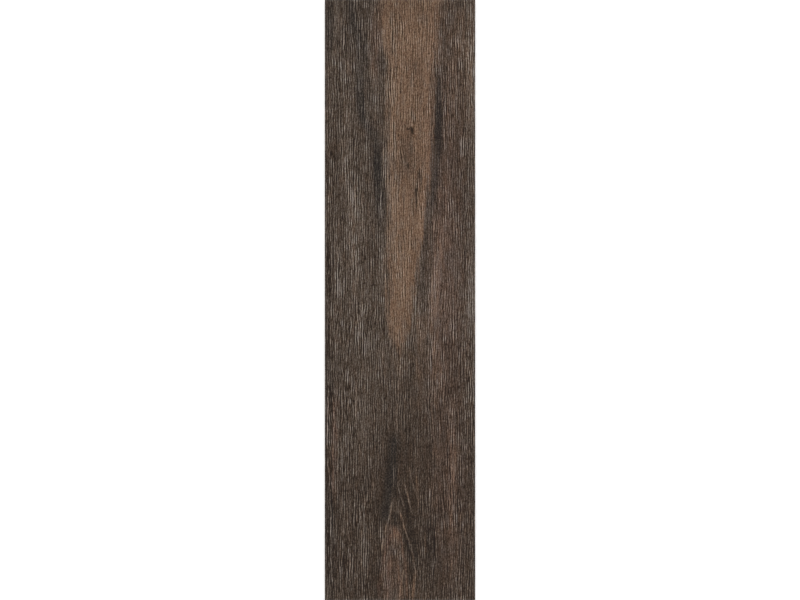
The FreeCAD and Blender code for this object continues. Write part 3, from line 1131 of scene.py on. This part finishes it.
    def map_for_baking(self, mesh: bpy.types.Mesh) -> None:
        """Lays the wood face in two halves, the back and the four edges side by side on one map.

        Args:
            mesh: The finished mesh.
        """
        lay = self.layout
        half_width, half_length, thick = self.high.x / MILLIMETRE, self.high.y / MILLIMETRE, self.high.z / MILLIMETRE
        counts = {name: np.empty(len(mesh.polygons), dtype=np.int32) for name in ("loop_total", "material_index")}
        facing, middle = (np.empty((len(mesh.polygons), 3), dtype=np.float32) for _ in range(2))
        corner = np.empty(len(mesh.loops), dtype=np.int32)
        spots = np.empty((len(mesh.vertices), 3), dtype=np.float32)
        for name, numbers in counts.items():
            mesh.polygons.foreach_get(name, numbers)
        mesh.polygons.foreach_get("normal", facing.reshape(-1))
        mesh.polygons.foreach_get("center", middle.reshape(-1))
        mesh.loops.foreach_get("vertex_index", corner)
        mesh.vertices.foreach_get("co", spots.reshape(-1))
        face_of = np.repeat(np.arange(len(mesh.polygons)), counts["loop_total"])
        facing, middle = facing[face_of], middle[face_of] / MILLIMETRE
        x, y, z = (spots[corner] / MILLIMETRE).T
        far_half = middle[:, 1] < 0
        u = lay.margin + (x + half_width) * lay.scale + far_half * (2 * half_width * lay.scale + lay.gap)
        v = lay.margin + (y + far_half * half_length) * lay.scale
        wood = counts["material_index"][face_of] == 1
        inside = (np.abs(middle[:, 0]) < half_width - 1) & (np.abs(middle[:, 1]) < half_length - 1)
        back = ~wood & (inside | (facing[:, 2] < -0.3))
        pulled = []
        for place, pitch, count in zip((x, y), self.pocket_pitch(), (self.pockets_across, self.pockets_along)):
            shift = (count - 1) / 2
            nearest = (np.round(place / pitch + shift) - shift) * pitch
            pulled.append(np.where(z > self.pocket_depth / 2, nearest + (place - nearest) * lay.pocket_share, place))
        u = np.where(back, lay.back_left + (half_width - pulled[0]) / (2 * half_width) * lay.back_size[0], u)
        v = np.where(back, lay.margin + (pulled[1] + half_length) / (2 * half_length) * lay.back_size[1], v)
        long_edge = ~wood & ~back & (np.abs(facing[:, 0]) > np.abs(facing[:, 1]))
        end_edge = ~wood & ~back & ~long_edge
        up = z / thick * lay.edge_height
        way = np.where(facing[:, 0] > 0, 1, -1)
        u = np.where(long_edge, lay.margin + (way * y + half_length) * lay.edge_scale, u)
        v = np.where(long_edge, np.where(way > 0, lay.edge_rows[0], lay.edge_rows[1]) + up, v)
        way = np.where(facing[:, 1] > 0, -1, 1)
        second = (way > 0) * (2 * half_width * lay.scale + lay.gap)
        u = np.where(end_edge, lay.margin + (way * x + half_width) * lay.scale + second, u)
        v = np.where(end_edge, lay.edge_rows[2] + up, v)
        layer = mesh.uv_layers.new(name=BAKE_MAP)
        layer.data.foreach_set("uv", np.column_stack((u, v)).astype(np.float32).reshape(-1))

    def build(self) -> bpy.types.Object:
        """Makes the plank and stands it in for the CAD node.

        Returns:
            The finished piece.
        """
        carrier = bpy.data.objects.new(self.name + "_rule", bpy.data.meshes.new(self.name + "_rule"))
        bpy.context.scene.collection.objects.link(carrier)
        tree, keys = self.tree()
        rule = carrier.modifiers.new("plank", "NODES")
        rule.node_group = tree
        size = self.high - self.low
        for label, value in (("Width", size.x), ("Length", size.y), ("Thickness", size.z),
                             ("Face bevel", self.face_bevel * MILLIMETRE)):
            rule[keys[label]] = value
        ready = carrier.evaluated_get(bpy.context.evaluated_depsgraph_get())
        mesh = bpy.data.meshes.new_from_object(ready)
        mesh.name = self.name
        mesh.materials.pop(index=0)
        self.map_for_baking(mesh)
        piece = bpy.data.objects.new(self.name, mesh)
        bpy.context.scene.collection.objects.link(piece)
        bpy.data.objects.remove(carrier)
        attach(piece, BODY)
        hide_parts(CAD_NODE)
        return piece


@dataclass
class Studio:
    """The plain pale floor, the soft lamps and the camera that looks straight down."""

    floor_half: float = 30.0
    floor_gap: float = 0.0004
    floor_colour: str = "#f4f4f4"
    floor_glow: float = 0.38
    far_glow: float = 0.88
    floor_glow_reach: Point = (0.6, 4.0)
    sky_strength: float = 0.15
    horizon_strength: float = 0.95
    horizon_band: Point = (0.08, 0.3)
    lamp_height: float = 2.2
    lamp_length: float = 2.4
    lamps: tuple[tuple[Triple, float], ...] = (
        ((-2.6, 0.0, 1.5), 51.6), ((2.6, 0.0, 1.5), 51.6), ((0.0, -2.8, 1.6), 45.8), ((0.0, 2.8, 1.6), 45.8))
    lens: float = 100.0
    sensor_width: float = 36.0
    image_width: float = 800.0
    image_height: float = 600.0
    shown_length: float = 0.5976

    def floor(self) -> bpy.types.Object:
        """Lays the floor.

        Returns:
            The floor.
        """
        half = self.floor_half
        mesh = bpy.data.meshes.new("studio_floor")
        corners = [(x, y, -self.floor_gap) for x, y in ((-half, -half), (half, -half), (half, half), (-half, half))]
        mesh.from_pydata(corners, [], [(0, 1, 2, 3)])
        made = bpy.data.materials.new("pale_floor")
        made.use_nodes = True
        tree = made.node_tree
        tree.nodes.clear()
        path = add(tree, "ShaderNodeLightPath").node
        seen = add(tree, Kind.MATH, (path.outputs["Is Camera Ray"], path.outputs["Is Glossy Ray"]), operation="ADD")
        seen = add(tree, Kind.MATH, (seen, path.outputs["Is Transmission Ray"]), operation="ADD")
        metres = add(tree, Kind.COORDINATE).node.outputs["Object"]
        far = add(tree, Kind.VECTOR, (metres,), operation="LENGTH").node.outputs["Value"]
        near, beyond = self.floor_glow_reach
        glow = add(tree, Kind.RANGE, {0: far, 1: near, 2: beyond, 3: self.floor_glow, 4: self.far_glow})
        glow = add(tree, Kind.MATH, (seen, glow), operation="MULTIPLY")
        surface = add(tree, Kind.SURFACE, {"Base Color": linear(self.floor_colour), "Roughness": 1.0,
                                           "Specular IOR Level": 0.0, "Emission Color": (1.0, 1.0, 1.0, 1.0),
                                           "Emission Strength": glow})
        add(tree, Kind.OUTPUT, (surface,))
        mesh.materials.append(made)
        piece = bpy.data.objects.new("studio_floor", mesh)
        bpy.context.scene.collection.objects.link(piece)
        return piece

    def light(self) -> None:
        """Hangs a large soft lamp on each side of the plank, under a dim sky that is pale near the horizon."""
        for number, (spot, power) in enumerate(self.lamps):
            data = bpy.data.lights.new(f"soft_lamp_{number}", "AREA")
            data.shape = "RECTANGLE"
            data.size = self.lamp_length
            data.size_y = self.lamp_height
            data.energy = power
            lamp = bpy.data.objects.new(data.name, data)
            lamp.location = spot
            lamp.rotation_euler = Vector(spot).to_track_quat("Z", "Y").to_euler()
            bpy.context.scene.collection.objects.link(lamp)
        world = bpy.data.worlds.new("studio_air")
        world.use_nodes = True
        tree = world.node_tree
        tree.nodes.clear()
        way = add(tree, Kind.COORDINATE).node.outputs["Generated"]
        height = add(tree, Kind.SPLIT_AXES, (way,)).node.outputs[2]
        glow = add(tree, Kind.RANGE, {0: height, 1: self.horizon_band[0], 2: self.horizon_band[1],
                                      3: self.horizon_strength, 4: self.sky_strength}, interpolation_type="SMOOTHSTEP")
        sky = add(tree, "ShaderNodeBackground", {"Color": (1.0, 1.0, 1.0, 1.0), "Strength": glow})
        add(tree, "ShaderNodeOutputWorld", (sky,))
        bpy.context.scene.world = world

    def camera(self, height: float) -> bpy.types.Object:
        """Points the camera straight down, with the plank from edge to edge of the picture's height.

        Args:
            height: Where the widest outline of the plank lies, in metres.

        Returns:
            The camera.
        """
        data = bpy.data.cameras.new("camera")
        data.lens = self.lens
        data.sensor_width = self.sensor_width
        sensor_height = self.sensor_width * self.image_height / self.image_width
        away = self.shown_length * self.lens / sensor_height
        piece = bpy.data.objects.new("camera", data)
        piece.location = (0.0, 0.0, height + away)
        bpy.context.scene.collection.objects.link(piece)
        bpy.context.scene.camera = piece
        return piece


def main() -> None:
    logging.basicConfig(level=logging.INFO, format="%(name)s: %(message)s")
    plank = WoodLookPlank()
    piece = plank.build()
    log.info("%s: %d faces", piece.name, len(piece.data.polygons))
    studio = Studio()
    studio.floor()
    studio.light()
    studio.camera(plank.high.z - plank.face_bevel * MILLIMETRE)
    scene = bpy.context.scene
    scene.view_settings.view_transform = "Standard"


if __name__ == "__main__":
    main()
